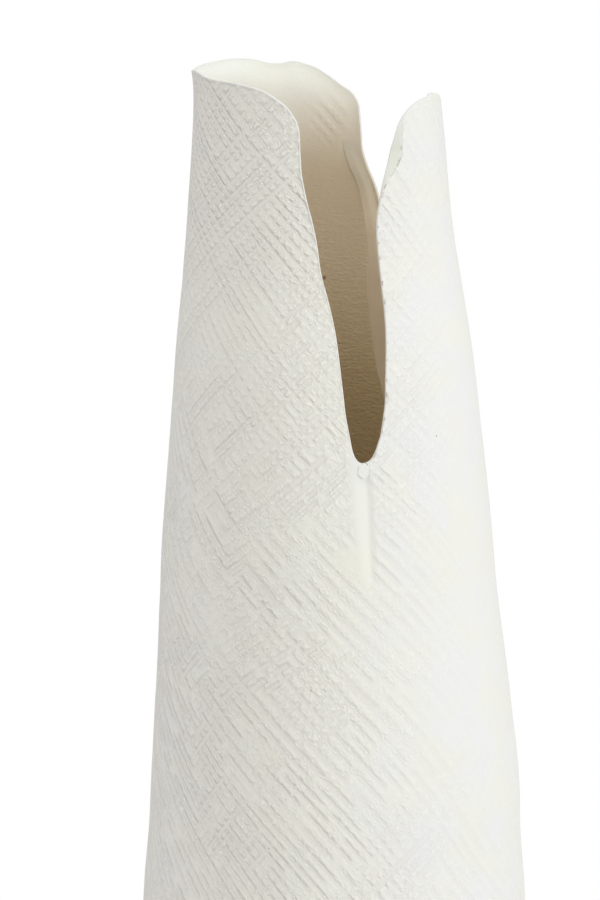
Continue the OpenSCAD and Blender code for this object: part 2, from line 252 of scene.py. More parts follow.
def closed_curve(knots, steps):
    """Cubic through the knots of a line that comes back a turn lower, slopes from the knots beside.

    Each knot has its own number of steps. The second result says how many knots each point has passed.
    """
    lap = np.array([TURN, 0])
    before = np.concatenate([knots[-1:] + lap, knots[:-1]])
    after = np.concatenate([knots[1:], knots[:1] - lap])
    beyond = np.concatenate([knots[2:], knots[:2] - lap])
    knot = np.repeat(np.arange(len(knots)), steps)
    u = ((np.arange(len(knot)) - (np.cumsum(steps) - steps)[knot]) / steps[knot])[:, None]
    p0, p1, p2, p3 = (k[knot] for k in (before, knots, after, beyond))
    curve = p1 + u / 2 * (p2 - p0 + u * (2 * p0 - 5 * p1 + 4 * p2 - p3 + u * (3 * (p1 - p2) + p3 - p0)))
    return curve, knot + u[:, 0]


knots = []
knot_steps = []
for shares, az0, az_unit, depth, steps in STRETCHES:
    knots += [(az0 + az * az_unit, WALL_H - down * depth) for az, down in shares]
    knot_steps += [steps] * len(shares)
rim, passed = closed_curve(np.array(knots), np.array(knot_steps))
table_starts = np.cumsum([0] + [len(row[0]) for row in STRETCHES])
table_of = np.searchsorted(table_starts, passed, side="right") - 1
print(f"rim drawn through {len(knots)} points, {len(rim)} columns of faces")

# %% [markdown]
# The dart is a pinch that was squeezed shut and wiped, so it is a crease and no even groove: a flat flank
# falls from the left at a steady slope and catches the light, and a narrow side climbs back steeply and
# stays in the shade. The flank narrows downwards, and with it the depth. A second, very shallow groove
# runs down the back, where the joint was wiped. A slab that was rolled by hand is never quite smooth
# either, so broad, faint waves are taken off the face, always inwards, to keep its outer size.

# %% Grooves and unevenness
DART_LEN = 56 * MM
DART_SLOPE = 0.26
DART_LEFT_W = 4.7 * MM
DART_TOE_SHARE = 0.25
DART_RIGHT_W = 3.4 * MM
DART_NARROWED_SHARE = 0.4
DART_SHIFT = 1.6 * MM
DART_HEAD = 3 * MM
DART_END_SHARE = 0.2
SEAM_DEPTH = 0.7 * MM
SEAM_W = 5 * MM
# Depth, length and seed of the waves
HAND_WAVES = [(0.35 * MM, 38 * MM, 3), (0.14 * MM, 13 * MM, 8)]


def turned_from(az, az0):
    """Turn from one azimuth to another the short way round, positive to the right."""
    turn = az - az0
    return turn - TURN * np.round(turn / TURN)


def arc_from(az, az0, z):
    """Arc along the cone between two azimuths, positive to the right."""
    return turned_from(az, az0) * cone_r(z)


def dart_place(az, z):
    """Share of the dart's length below the slit, arc right of the crease, width of the left flank."""
    down = (WALL_H - SLIT_DEPTH - z) / DART_LEN
    off = arc_from(az, SLIT_AZ, z) - DART_SHIFT
    flank = DART_LEFT_W * (1 - DART_NARROWED_SHARE * np.clip(down, 0, 1) ** 2)
    return down, off, flank


def dart_groove(az, z):
    """A crease: the left flank falls at one slope after a soft start, the right one climbs in an S."""
    down, off, flank = dart_place(az, z)
    fallen = 1 + off / flank
    left = (fallen + np.hypot(fallen, DART_TOE_SHARE)) / (1 + math.hypot(1, DART_TOE_SHARE))
    right = 1 - ease(off / DART_RIGHT_W)
    fade = ease((1 - down) / DART_END_SHARE) * ease((down * DART_LEN - DART_HEAD) / DART_HEAD)
    return DART_SLOPE * flank * np.where(off < 0, left, right) * fade


def relief(az, z):
    """Depth below the plain face: the dart, a bell across the seam, and waves, never above the face."""
    at = wall_point(az, z, 0)
    seam = SEAM_DEPTH * bell(arc_from(az, NOTCH_AZ, z), SEAM_W)
    waves = [np.maximum(depth * (1 + ripple(at, length, seed)) / 2, 0)
             for depth, length, seed in HAND_WAVES]
    return dart_groove(az, z) + seam + sum(waves)


# %% [markdown]
# The cut edges show the slab's thickness, so they get real geometry. The slab was thinned towards its
# edges with a damp finger, from inside, and then cut square. So each column of faces climbs the outside,
# turns two tight corners over the cut and comes down inside, where it leaves the edge in a soft taper.
# On the petal a flake came off the outer corner. The knife left small nicks on the right, and a burr that
# tore off unevenly, mostly along the right side of the slit.

# %% The edge of the slab
EDGE_ROUND = 0.5 * MM
# One number for each of the five stretches of the rim: thickness left, how torn, and which are on the right
EDGE_THICKNESS = np.array([1.5, 1.6, 2.2, 1.6, 1.6]) * MM
TORN_SHARES = [0.2, 0, 0, 0, 1]
RIGHT_STRETCHES = [0, 0, 0, 1, 1]
SOFTENED = 9
TAPER = 7 * MM
FLAKE = 3.8 * MM
FLAKE_DROP = 30 * MM
FLAKE_H = 11 * MM
FLAKE_WAVE = 9 * MM
FLAKE_WAVE_SHARE = 0.3
FLAKE_THICK_SHARE = 0.3
NICK = 0.35 * MM
NICK_LENGTH = 4 * MM


def unit(vectors):
    """Vectors of length 1."""
    return vectors / np.linalg.norm(vectors, axis=-1, keepdims=True)


def round_rim(per_stretch):
    """A number for each stretch spread over the columns, as a mean over some columns on each side."""
    values = np.asarray(per_stretch, float)[table_of]
    return sum(np.roll(values, k) for k in range(-SOFTENED, SOFTENED + 1)) / (2 * SOFTENED + 1)


def set_back(distance):
    """Azimuths and heights of the rim moved back into the slab, square to the edge."""
    az, z = rim.T
    sideways = rim_out[:, 0] * np.cos(az) + rim_out[:, 1] * np.sin(az)
    return np.stack([az - distance * sideways / cone_r(z), z - distance * rim_out[:, 2]], 1)


def near_rim(az, z):
    """Distance of each point of the outer face to the rim, and the edge's thickness and tear there."""
    found = []
    for row in wall_point(az, z, 0):
        gap = np.linalg.norm(row[:, None] - edge_line[None], axis=-1)
        nearest = gap.argmin(1)
        found.append(np.stack([gap.min(1), edge_t[nearest], torn_edge[nearest]]))
    return np.stack(found, 1)


def inner_face(az, z):
    """Depth of the inner face: the slab's thickness, thinned towards the edge by a bell."""
    gap, thickness, _ = near_rim(az, z)
    return WALL_T - (WALL_T - thickness) * bell(gap, TAPER)


edge_line = wall_point(*rim.T, 0)
rim_step = np.linalg.norm(np.roll(edge_line, -1, axis=0) - edge_line, axis=1)
rim_share = np.concatenate([[0], np.cumsum(rim_step)[:-1]]) / rim_step.sum()
rim_along = unit(np.roll(edge_line, -1, axis=0) - np.roll(edge_line, 1, axis=0))
rim_side = np.stack([np.sin(rim[:, 0]), -np.cos(rim[:, 0]), 0 * rim[:, 0]], 1)
rim_out = unit(np.cross(rim_along, rim_side))
torn_edge = round_rim(TORN_SHARES)
on_right = round_rim(RIGHT_STRETCHES)
flake = FLAKE * bell(rim[:, 1] - WALL_H + FLAKE_DROP, FLAKE_H)
flake = on_right * flake * (1 + FLAKE_WAVE_SHARE * ripple(edge_line, FLAKE_WAVE, seed=7))
edge_t = round_rim(EDGE_THICKNESS) + FLAKE_THICK_SHARE * flake
nicks = NICK * np.maximum(ripple(edge_line, NICK_LENGTH, seed=5), 0)
set_in = flake + on_right * nicks
rim_outer, rim_corner, rim_inner = (set_back(back) for back in (EDGE_ROUND + set_in, set_in, EDGE_ROUND))
print(f"rim is {rim_step.sum() / MM:.0f} mm round, flake {set_in.max() / MM:.1f} mm wide")

# %% [markdown]
# Two general makers serve all the pieces. One joins a grid of points into a closed skin, and turns the
# faces outwards by the sign of the volume that they enclose. The other turns a profile of radii and
# heights about an axis, with a soft unevenness so that nothing looks turned on a machine.

# %% Makers of closed skins
def signed_volume(points, faces):
    """Volume inside fans of triangles, positive where the faces look outwards."""
    total = 0.0
    for size in {len(f) for f in faces}:
        group = np.array([f for f in faces if len(f) == size])
        for k in range(1, size - 1):
            a, b, c = points[group[:, 0]], points[group[:, k]], points[group[:, k + 1]]
            total += np.einsum("ij,ij->i", a, np.cross(b, c)).sum() / 6
    return total


def skin(name, grid, close_rows=False):
    """Object from grid[row, column]: the columns close up, and the rows too, or each end gets one face."""
    rows, columns = grid.shape[:2]
    index = np.arange(rows * columns).reshape(rows, columns)
    here = index if close_rows else index[:-1]
    above = np.roll(index, -1, axis=0) if close_rows else index[1:]
    quads = np.stack([here, np.roll(here, -1, 1), np.roll(above, -1, 1), above], -1).reshape(-1, 4)
    ends = [] if close_rows else [index[0][::-1].tolist(), index[-1].tolist()]
    points = grid.reshape(-1, 3)
    if signed_volume(points, quads.tolist() + ends) < 0:
        quads = quads[:, ::-1]
        ends = [end[::-1] for end in ends]
    mesh = bpy.data.meshes.new(name)
    mesh.from_pydata(points, [], quads.tolist() + ends)
    mesh.polygons.foreach_set("use_smooth", np.ones(len(mesh.polygons), bool))
    mesh.update()
    piece = bpy.data.objects.new(name, mesh)
    bpy.context.scene.collection.objects.link(piece)
    return piece, quads


def round_steps(count):
    """Angles of a number of even steps round a circle."""
    return TURN * np.arange(count) / count


def quarter(steps, start=0):
    """Angles over a quarter of a circle, from a start in degrees."""
    return np.radians(start + 90 * np.arange(steps + 1) / steps)


def round_grid(r, z, turn, axis=(0, 0)):
    """Points at radii and heights round an upright axis, one column for each angle."""
    return np.stack(np.broadcast_arrays(r * np.cos(turn) + axis[0], r * np.sin(turn) + axis[1], z), -1)


def lathe(name, profile, columns, wobble, seed, wave=20 * MM, axis=(0, 0)):
    """Skin of revolution from rows of radius and height, each point moved inwards by up to wobble."""
    r, z = np.asarray(profile, float).T[..., None]
    swell = (1 + ripple(round_grid(r, z, round_steps(columns)), wave, seed)) / 2
    r = r - wobble * swell * np.minimum(1, r / wave)
    return skin(name, round_grid(r, z, round_steps(columns), axis))[0]


def rounded(corner, radius, start):
    """Points of a quarter round at a corner (r, z), from the angle start in degrees, turning left."""
    return [(corner[0] + radius * math.cos(a), corner[1] + radius * math.sin(a)) for a in quarter(6, start)]


def keep_for(piece, slot, *nodes):
    """Says that a piece rides on the one body and stands for frame pieces, which are hidden; slot is not
    used.
    """
    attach(piece, "root")
    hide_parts(*nodes)
    faces = len(piece.data.loops) - 2 * len(piece.data.polygons)
    print(f"{piece.name}: {faces} triangles, stands for {', '.join(nodes)}")


# %% [markdown]
# The wall's grid has one column for each step along the rim. A column starts at the foot, at an even
# spacing, and bends with the square of its height towards its own point of the rim. So the same columns
# follow the cone at the bottom and the slit, the notch and the petal at the top, with no seam between.

# %% The wall
OUTER_ROWS = 160
INNER_ROWS = 40
HEEL_ROWS = 5
# The last row of the outer face lies this share of the column's height below its edge
SUPPORT_SHARE = 0.002
# Rows over the cut as shares of four corners: outer face, outer corner, inner corner, inner face
EDGE_SHARES = [(0.4, 0.6, 0, 0), (0.1, 0.8, 0.1, 0), (0, 0.75, 0.25, 0), (0, 0.5, 0.5, 0),
               (0, 0.25, 0.75, 0), (0, 0.1, 0.8, 0.1), (0, 0, 0.6, 0.4)]


def column_az(z, top):
    """Azimuth of each column at heights z, bent from the foot towards its point of the rim."""
    return mix(SLIT_AZ - TURN * rim_share, top[:, 0], (z / top[:, 1]) ** 2)


heel_turn = quarter(HEEL_ROWS)[:-1, None]
heel_z = HEEL_R * (1 - np.cos(heel_turn)) + 0 * rim_share
heel_az = column_az(heel_z, rim_outer)
heel_in = relief(heel_az, heel_z) + WALL_T / 2 * (1 - np.sin(heel_turn))
outer_shares = np.append(np.linspace(0, 1 - SUPPORT_SHARE, OUTER_ROWS), 1)
outer_z = mix(HEEL_R, rim_outer[:, 1], outer_shares[:, None])
outer_az = column_az(outer_z, rim_outer)
outer_in = relief(outer_az, outer_z)
inner_z = mix(0, rim_inner[:, 1], 1 - np.linspace(0, 1, INNER_ROWS + 1)[:, None] ** 2)
inner_az = column_az(inner_z, rim_inner)
outer = wall_point(outer_az, outer_z, outer_in)
inner = wall_point(inner_az, inner_z, inner_face(inner_az, inner_z))
corners = np.stack([outer[-1], wall_point(*rim_corner.T, outer_in[-1]),
                    wall_point(*rim.T, edge_t), inner[0]])
edge = np.einsum("rk,kcx->rcx", np.array(EDGE_SHARES), corners)
edge_az = np.broadcast_to(rim[:, 0], edge.shape[:2])
edge_z = np.broadcast_to(rim[:, 1], edge.shape[:2])
wall, wall_quads = skin("vase_wall", np.concatenate([wall_point(heel_az, heel_z, heel_in),
                                                     outer, edge, inner]), close_rows=True)
keep_for(wall, "scored_clay", "wall_slab")

# %% [markdown]
# The scoring was done on the flat slab, so its pattern must follow the slab and not space. A UV map in
# metres unrolls it: across is the arc round the cone, up is the height, and the map is cut along the
# back seam, where the real pattern breaks too. A second map lays the outside, the edge, the foot and the
# inside on one square sheet.

# %% Maps of the wall
SEAM_AZ = NOTCH_AZ - TURN
OUTER_SHEET = 0.25
EDGE_SHEET = 0.225
FOOT_SHEET = 0.212
INNER_SHEET = 0.2
SHEET_MARGIN = 0.004
EDGE_ROWS = len(EDGE_SHARES) + 1


def uv_map(piece, name, across, up):
    """UV map from two values for each corner of each face."""
    layer = piece.data.uv_layers.new(name=name)
    layer.data.foreach_set("uv", np.stack([across, up], -1).astype(np.float32).ravel())


all_az = np.concatenate([heel_az, outer_az, edge_az, inner_az])
all_z = np.concatenate([heel_z, outer_z, edge_z, inner_z])
first_edge = HEEL_ROWS + OUTER_ROWS
corner_az = all_az.ravel()[wall_quads]
corner_az = corner_az - TURN * np.round((corner_az - corner_az[:, :1]) / TURN)
corner_az = corner_az - TURN * np.floor((corner_az.mean(1, keepdims=True) - SEAM_AZ) / TURN)
corner_z = all_z.ravel()[wall_quads]
uv_map(wall, "slab", corner_az * cone_r(corner_z), corner_z)

corner_row = wall_quads // len(rim)
column = wall_quads % len(rim)
column = np.where(column - column.min(1, keepdims=True) > len(rim) / 2, -1, column)
lowest = corner_row.min(1, keepdims=True)
on_edge = (lowest >= first_edge) & (lowest < first_edge + EDGE_ROWS)
on_foot = (corner_row.max(1, keepdims=True) - lowest) > 1
round_share = np.clip((corner_az - SEAM_AZ) / TURN, 0, 1)
across = np.where(on_edge | on_foot, (column + 1) / len(rim), round_share)
across = mix(SHEET_MARGIN, 1 - SHEET_MARGIN, across)
up = np.where(lowest < first_edge, mix(OUTER_SHEET, 1 - SHEET_MARGIN, corner_z / WALL_H),
              mix(SHEET_MARGIN, INNER_SHEET, corner_z / WALL_H))
over_cut = (corner_row - first_edge) / EDGE_ROWS
up = np.where(on_edge, mix(EDGE_SHEET, OUTER_SHEET - SHEET_MARGIN, over_cut), up)
up = np.where(on_foot, np.where(corner_row == lowest, FOOT_SHEET, FOOT_SHEET - 2 * SHEET_MARGIN), up)
uv_map(wall, "OFBake", across, up)
print(f"slab map is {np.ptp(corner_az * cone_r(corner_z)):.3f} m across, {np.ptp(corner_z):.3f} m up")

# %% [markdown]
# Six values on the points say what the surface is like there: how much of the scoring is left, how near
# it is to the cut edge, where the edge is torn, where the flake came off the petal, where a scored face
# left a faint print inside, and how far inside it lies. The scoring is fainter on the right, where the
# hand held and smoothed the cone as it was joined.

# %% Values on the wall
WIPED_EDGE = 1.1 * MM
WIPED_SEAM = 7 * MM
WIPED_HEEL = 9 * MM
# Middle and reach of the dart's wiped band, in widths of its flank to the left of the crease
WIPED_DART = (0.6, 1.6)
HARD_AZ = math.radians(-48)
HARD_TURN = math.radians(42)
HARD_SHARE = 0.7
HARD_HIGH_SHARE = 0.45
HARD_LOW_Z = 290 * MM
HARD_TOP_SHARE = 0.28
HARD_TOP_Z = 370 * MM
HARD_TOP_H = 60 * MM
HELD_AZ = math.radians(62)
HELD_TURN = math.radians(38)
HELD_SHARE = 0.9
HELD_FOOT_SHARE = 0.55
HELD_FOOT_Z = 160 * MM
# Beside the slit's foot the hand left the strokes alone
FREE_AZ = math.radians(30)
FREE_TURN = math.radians(18)
FREE_Z = 345 * MM
FREE_H = 40 * MM
FREE_SHARE = 0.6
PRINT_AZ = math.radians(174.5)
PRINT_W = 7 * MM
PRINT_Z = 449 * MM
PRINT_H = 9 * MM
# How much of the outside's ivory each of the five cut stretches keeps
EDGE_PALE_SHARES = [0.55, 1, 0.3, 1, 1]
TORN_W = 1.0 * MM
TORN_FALL = 3

face_az, face_z = all_az[:first_edge + 1], all_z[:first_edge + 1]
edge_gap, _, torn_near = near_rim(face_az, face_z)
down, off, flank = dart_place(face_az, face_z)
dart_wiped = ease(WIPED_DART[1] - np.abs(off / flank + WIPED_DART[0])) * ease((1 - down) / DART_END_SHARE)
wiped = np.maximum.reduce([bell(edge_gap, WIPED_EDGE), dart_wiped * ease(2 * down + 1),
                           bell(arc_from(face_az, NOTCH_AZ, face_z), WIPED_SEAM),
                           1 - ease(face_z / WIPED_HEEL)])
hard = HARD_SHARE * bell(turned_from(face_az, HARD_AZ), HARD_TURN)
hard = hard * mix(1, HARD_HIGH_SHARE, ease((face_z - HARD_LOW_Z) / HARD_TOP_H))
hard = hard + HARD_TOP_SHARE * ease((face_z - HARD_TOP_Z) / HARD_TOP_H)
held = HELD_SHARE * bell(turned_from(face_az, HELD_AZ), HELD_TURN)
held = held * mix(HELD_FOOT_SHARE, 1, ease(face_z / HELD_FOOT_Z - 0.5))
free = FREE_SHARE * bell(turned_from(face_az, FREE_AZ), FREE_TURN) * bell(face_z - FREE_Z, FREE_H)
held = held * (1 - free)
edge_inside = np.linspace(0, 1, len(edge))[:, None] + 0 * edge_z
# Each value on the outside, over the cut and inside
point_values = {
    "scored": ((1 - wiped) * (1 - held + hard), 0, 0),
    "edge": (bell(edge_gap, EDGE_ROUND), round_rim(EDGE_PALE_SHARES),
             bell(near_rim(inner_az, inner_z)[0], EDGE_ROUND)),
    "torn": (bell(edge_gap, TORN_W) * torn_near, np.maximum(1 - TORN_FALL * edge_inside, 0) * torn_edge, 0),
    "flaked": (0, flake / FLAKE, 0),
    "printed": (0, 0, bell(arc_from(inner_az, PRINT_AZ, inner_z), PRINT_W)
                * bell(inner_z - PRINT_Z, PRINT_H)),
    "inside": (0, edge_inside, 1),
}
for name, values in point_values.items():
    spread = [value + 0 * z for value, z in zip(values, (face_z, edge_z, inner_z))]
    layer = wall.data.attributes.new(name, "FLOAT", "POINT")
    layer.data.foreach_set("value", np.concatenate(spread).astype(np.float32).ravel())
print("values on the wall:", ", ".join(point_values))

# %% [markdown]
# Inside, a strip of soft clay was thumbed over the back seam. One side of it ends in a crisp little step,
# the other was feathered out, and towards the top it thins to nothing. So it is swept up the wall as a row
# of flat rings, whose thickness is a product of a share across and a share along. Both sides wander, as a
# table says, because the strip was laid by eye and pulled towards the notch. A second, short strip backs
# the dart. Both sink a tenth of a millimetre into the wall's inner face, and the long one dives under that
# face at its top end.

# %% Strips over the joins
STRIP_T = 1.1 * MM
STRIP_W = 18.5 * MM
STRIP_FEATHER_SHARE = 0.6
STRIP_FADE_Z = 431 * MM
STRIP_FADE_H = 16 * MM
STRIP_LEAST_SHARE = 0.05
STRIP_END_SHARE = 0.975
STRIP_ROWS = 300
STRIP_COLUMNS = 34
DART_STRIP_W = 16 * MM
DART_STRIP_ROWS = 60
DART_FEATHER_SHARE = 0.3
SUNK = 0.1 * MM
DIVE_Z = 436 * MM
DIVE_H = 8 * MM
DIVE_SHARE = 0.85
THUMB_LENGTH = 17 * MM
THUMB_DEPTH = 0.2
# Share of the strip's height, its right side and its left side as shares of its width from the seam
STRIP_SHARES = [(0, -0.3, 0.62), (0.4, -0.32, 0.6), (0.62, -0.3, 0.56), (0.68, -0.3, 0.59),
                (0.715, -0.31, 0.74), (0.745, -0.3, 0.79), (0.78, -0.25, 0.8), (0.805, -0.1, 0.77),
                (0.822, 0.05, 0.72), (0.85, 0.17, 0.67), (0.875, 0.26, 0.69), (0.904, 0.385, 0.8),
                (0.916, 0.48, 0.9), (0.927, 0.585, 1.02), (0.942, 0.685, 1.12), (0.96, 0.695, 1.17),
                (0.977, 0.71, 1.2), (1, 0.74, 1.24)]


def strip_on_wall(name, az_right, az_left, z, thick, feather):
    """Rings across a strip: its back on the wall, its front raised by thick, feathered at the right."""
    u = np.sin(np.linspace(-math.pi / 2, math.pi / 2, STRIP_COLUMNS))[None, :]
    az = mix(az_right[:, None], az_left[:, None], (u + 1) / 2)
    rows_z = z[:, None] + 0 * u
    seat = inner_face(az, rows_z)
    back = wall_point(az, rows_z, seat - SUNK)
    lift = thick[:, None] * ease((u + 1) / 2 / feather) * (1 - np.abs(u) ** 24)
    lift = lift * (1 + THUMB_DEPTH * ripple(back, THUMB_LENGTH, seed=11))
    above = 1 - DIVE_SHARE * ease((rows_z - DIVE_Z) / DIVE_H)
    front = wall_point(az, rows_z, seat - SUNK + np.maximum(lift, 0) + SUNK * (1 - u**8) * above)
    return skin(name, np.concatenate([back, front[:, -2:0:-1]], axis=1))[0]


strip_low, strip_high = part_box("back_seam_strip")
t = np.linspace(0, STRIP_END_SHARE, STRIP_ROWS + 1)
z = mix(strip_low.z, strip_high.z, t) - FOOT_Z
right_az, left_az = (NOTCH_AZ + along(STRIP_SHARES, t, side) * (STRIP_W / cone_r(z)) for side in (1, 2))
thick = STRIP_T * mix(1, STRIP_LEAST_SHARE, ease((z - STRIP_FADE_Z) / STRIP_FADE_H + 0.5))
seam_strip = strip_on_wall("seam_strip", right_az, left_az, z, thick, STRIP_FEATHER_SHARE)
keep_for(seam_strip, "smoothed_clay", "back_seam_strip")

dart_low, dart_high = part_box("dart_strip")
t = np.linspace(0, 1, DART_STRIP_ROWS)
z = mix(dart_low.z, dart_high.z, t) - FOOT_Z
end_share = 1 - (2 * t - 1) ** 4 / 2
half_turn = DART_STRIP_W / 2 / cone_r(z) * end_share
dart_back = strip_on_wall("dart_back", SLIT_AZ - half_turn, SLIT_AZ + half_turn, z, STRIP_T * end_share,
                          DART_FEATHER_SHARE)
keep_for(dart_back, "smoothed_clay", "dart_strip")

# %% [markdown]
# The pellet is a ball of clay the size of a lentil, pressed into the head of the dart until it lay almost
# flush. It is a flat disc with a tight rounded edge, sunk into the wall and standing an eighth of a
# millimetre proud, with its face moved about a little by the ripple. Its place is the middle of the
# frame's pellet, and its face follows the wall's slope.

# %% Pellet
PELLET_W = 4.5 * MM
PELLET_H = 6.6 * MM
PELLET_PROUD = 0.12 * MM
PELLET_SUNK = 0.6 * MM
PELLET_EDGE_SHARE = 0.2
PELLET_FACE_SHARES = [0.6, 0.3, 0.08]
PELLET_RINGS = 14
PELLET_COLUMNS = 64
PELLET_WAVE = 0.05 * MM
PELLET_WAVE_LENGTH = 2.2 * MM
# Size, count and start of the lobes that keep the outline from being round
PELLET_LOBES = [(0.04, 2, 1), (0.05, 3, 4), (0.025, 7, 2)]
pellet_low, pellet_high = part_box("slit_pellet")
pellet_z = (pellet_low.z + pellet_high.z) / 2 - FOOT_Z
pellet_az = math.atan2((pellet_low.x + pellet_high.x) / 2 - axis_x(pellet_z),
                       -(pellet_low.y + pellet_high.y) / 2)
sides = pellet_az + np.array([-1, 1]) * PELLET_W / 2 / cone_r(pellet_z)
seat = face_r(sides, pellet_z) - relief(sides, pellet_z + 0 * sides)
out = np.array([math.sin(pellet_az), -math.cos(pellet_az), 0])
right = np.array([math.cos(pellet_az), math.sin(pellet_az), 0])
fall = (cone_r(pellet_z - PELLET_H / 2) - cone_r(pellet_z + PELLET_H / 2)) / PELLET_H
up_wall = unit(np.array([0, 0, 1.0]) - fall * out)
turn = round_steps(PELLET_COLUMNS)
dome = quarter(PELLET_RINGS - 1)
size = np.concatenate([[1.0], 1 - PELLET_EDGE_SHARE * (1 - np.cos(dome)), PELLET_FACE_SHARES])[:, None]
lift = np.concatenate([[-PELLET_SUNK], PELLET_PROUD * np.sin(dome), [PELLET_PROUD] * 3])[:, None]
outline = sum((share * np.sin(count * turn + start) for share, count, start in PELLET_LOBES), 1)
pellet_centre = np.array([axis_x(pellet_z), 0, FOOT_Z + pellet_z]) + out * seat.mean()
grid = (pellet_centre + (PELLET_W / 2 * size * outline * np.cos(turn))[..., None] * right
        + (PELLET_H / 2 * size * outline * np.sin(turn))[..., None] * up_wall
        + (lift + 0 * turn)[..., None] * out)
grid = grid + out * (PELLET_WAVE * ripple(grid, PELLET_WAVE_LENGTH, seed=4) * (lift > 0))[..., None]
pellet = skin("pellet", grid)[0]
keep_for(pellet, "pellet_clay", "slit_pellet")

# %% [markdown]
# The floor is a disc cut from the same clay, with a coil of soft clay pressed into the corner and
# smoothed to a hollow fillet. Both are turned profiles whose radii wander a little. Under the foot sit
# four felt pads, which keep a bisque foot from scratching a table: discs with pressed, rounded edges.

# %% Floor, coil and pads
JOIN = 0.1 * MM
FLOOR_EDGE = 1.2 * MM
FLOOR_MIDDLE = 2 * MM
FLOOR_TOP_SHARES = (0.96, 0.8, 0.6, 0.4, 0.2, 0.02)
COIL_W = 12 * MM
COIL_LIP = 0.8 * MM
COIL_SAG = 0.6 * MM
COIL_SAG_LENGTH = 25 * MM
COIL_SAG_R = 80 * MM
COIL_STEPS = 24
TURNED = 160
floor_low, floor_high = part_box("floor_slab")
floor_r = floor_high.x
floor_profile = [(FLOOR_MIDDLE, floor_low.z), (floor_r / 2, floor_low.z)]
floor_profile += rounded((floor_r - FLOOR_EDGE, floor_low.z + FLOOR_EDGE), FLOOR_EDGE, -90)
floor_profile += [(cone_r(floor_high.z - FOOT_Z) - WALL_T - JOIN, floor_high.z - JOIN)]
floor_profile += [(floor_r * share, floor_high.z) for share in FLOOR_TOP_SHARES]
floor_disc = lathe("floor_disc", floor_profile, TURNED, JOIN, seed=21)
keep_for(floor_disc, "plain_clay", "floor_slab")

coil_low, coil_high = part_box("floor_coil")
arc = quarter(COIL_STEPS)[:, None]
turn = round_steps(TURNED)
side_z = mix(coil_low.z, coil_high.z, np.linspace(0, 1, 9)[:, None])
side_r = cone_r(side_z - FOOT_Z) - WALL_T - JOIN
sag = COIL_SAG * ripple(round_grid(COIL_SAG_R, 0, turn), COIL_SAG_LENGTH, seed=6)
hollow_r = side_r[-1] - COIL_LIP - (COIL_W - COIL_LIP + sag) * (1 - np.cos(arc))
coil_h = coil_high.z - coil_low.z
hollow_z = coil_low.z + coil_h - (coil_h - COIL_LIP) * np.sin(arc) + 0 * turn
coil_r = np.concatenate([side_r + 0 * turn, hollow_r, hollow_r[-1:] - COIL_LIP / 2])
coil_z = np.concatenate([side_z + 0 * turn, hollow_z, coil_low.z + 0 * hollow_z[-1:]])
floor_ring = skin("floor_ring", round_grid(coil_r, coil_z, turn), close_rows=True)[0]
keep_for(floor_ring, "smoothed_clay", "floor_coil")

PAD_EDGE = 0.6 * MM
PAD_MIDDLE = 0.4 * MM
PAD_WOBBLE = 0.25 * MM
PAD_WAVE = 3 * MM
PAD_COLUMNS = 72
felt_pads = []
for name in sorted(n for n in frame["nodes"] if n.startswith("foot_pad")):
    low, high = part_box(name)
    pad_r = (high.x - low.x) / 2
    profile = [(PAD_MIDDLE, low.z), (pad_r / 2, low.z)]
    profile += rounded((pad_r - PAD_EDGE, low.z + PAD_EDGE), PAD_EDGE, -90)
    profile += rounded((pad_r - PAD_EDGE, high.z - PAD_EDGE), PAD_EDGE, 0)
    profile += [(pad_r / 2, high.z), (PAD_MIDDLE, high.z)]
    felt_pads.append(lathe(name.replace("foot", "felt"), profile, PAD_COLUMNS, PAD_WOBBLE, seed=31,
                           wave=PAD_WAVE, axis=((low.x + high.x) / 2, (low.y + high.y) / 2)))
    keep_for(felt_pads[-1], "felt", name)

# %% [markdown]
# The materials are built from nodes. Most of those nodes do sums, so a small class lets a sum be written
# as a sum: it holds an output and the tree that it is in, and adds the Math node. The other helpers add
# one node each. Effects that more than one material needs are node groups, made once.

# %% Helpers for nodes
class Wire:
    """Output of a node. A sum, difference, product or quotient with a wire in it adds a Math node."""

    def __init__(self, socket):
        self.socket = socket
        self.tree = socket.id_data

    def __add__(self, other):
        return calc("ADD", self, other)

    def __sub__(self, other):
        return calc("SUBTRACT", self, other)

    def __rsub__(self, other):
        return calc("SUBTRACT", other, self)

    def __mul__(self, other):
        return calc("MULTIPLY", self, other)

    def __truediv__(self, other):
        return calc("DIVIDE", self, other)

    def __rtruediv__(self, other):
        return calc("DIVIDE", other, self)


def put(socket, value):
    """Wires an output into an input, or sets the input to a number, a vector or a colour."""
    if isinstance(value, Wire):
        value.tree.links.new(value.socket, socket)
    else:
        socket.default_value = value


def add(tree, kind, inputs=None, **settings):
    """Adds a node, and gives its outputs as wires, by name and by number."""
    node = tree.nodes.new("ShaderNode" + kind)
    for key, value in settings.items():
        setattr(node, key, value)
    for key, value in (inputs or {}).items():
        put(node.inputs[key], value)
    wires = [Wire(socket) for socket in node.outputs]
    return {**dict(enumerate(wires)), **{wire.socket.name: wire for wire in wires}}


def calc(operation, *values):
    """Result of a Math node over up to three numbers or wires."""
    tree = next(value.tree for value in values if isinstance(value, Wire))
    return add(tree, "Math", dict(enumerate(values)), operation=operation)[0]


def vector_calc(operation, place, *others):
    """Outputs of a Vector Math node."""
    return add(place.tree, "VectorMath", dict(enumerate((place, *others))), operation=operation)


def split(kind, value):
    """The three numbers of a vector, with the kind XYZ, or of a colour, with the kind Color."""
    parts = add(value.tree, "Separate" + kind, {0: value})
    return parts[0], parts[1], parts[2]


def join(x, y, z):
    """Vector of three numbers."""
    return add(x.tree, "CombineXYZ", {0: x, 1: y, 2: z})[0]


def rotated(place, angle):
    """Place turned about Z."""
    return add(place.tree, "VectorRotate", {"Vector": place, "Angle": angle}, rotation_type="Z_AXIS")[0]


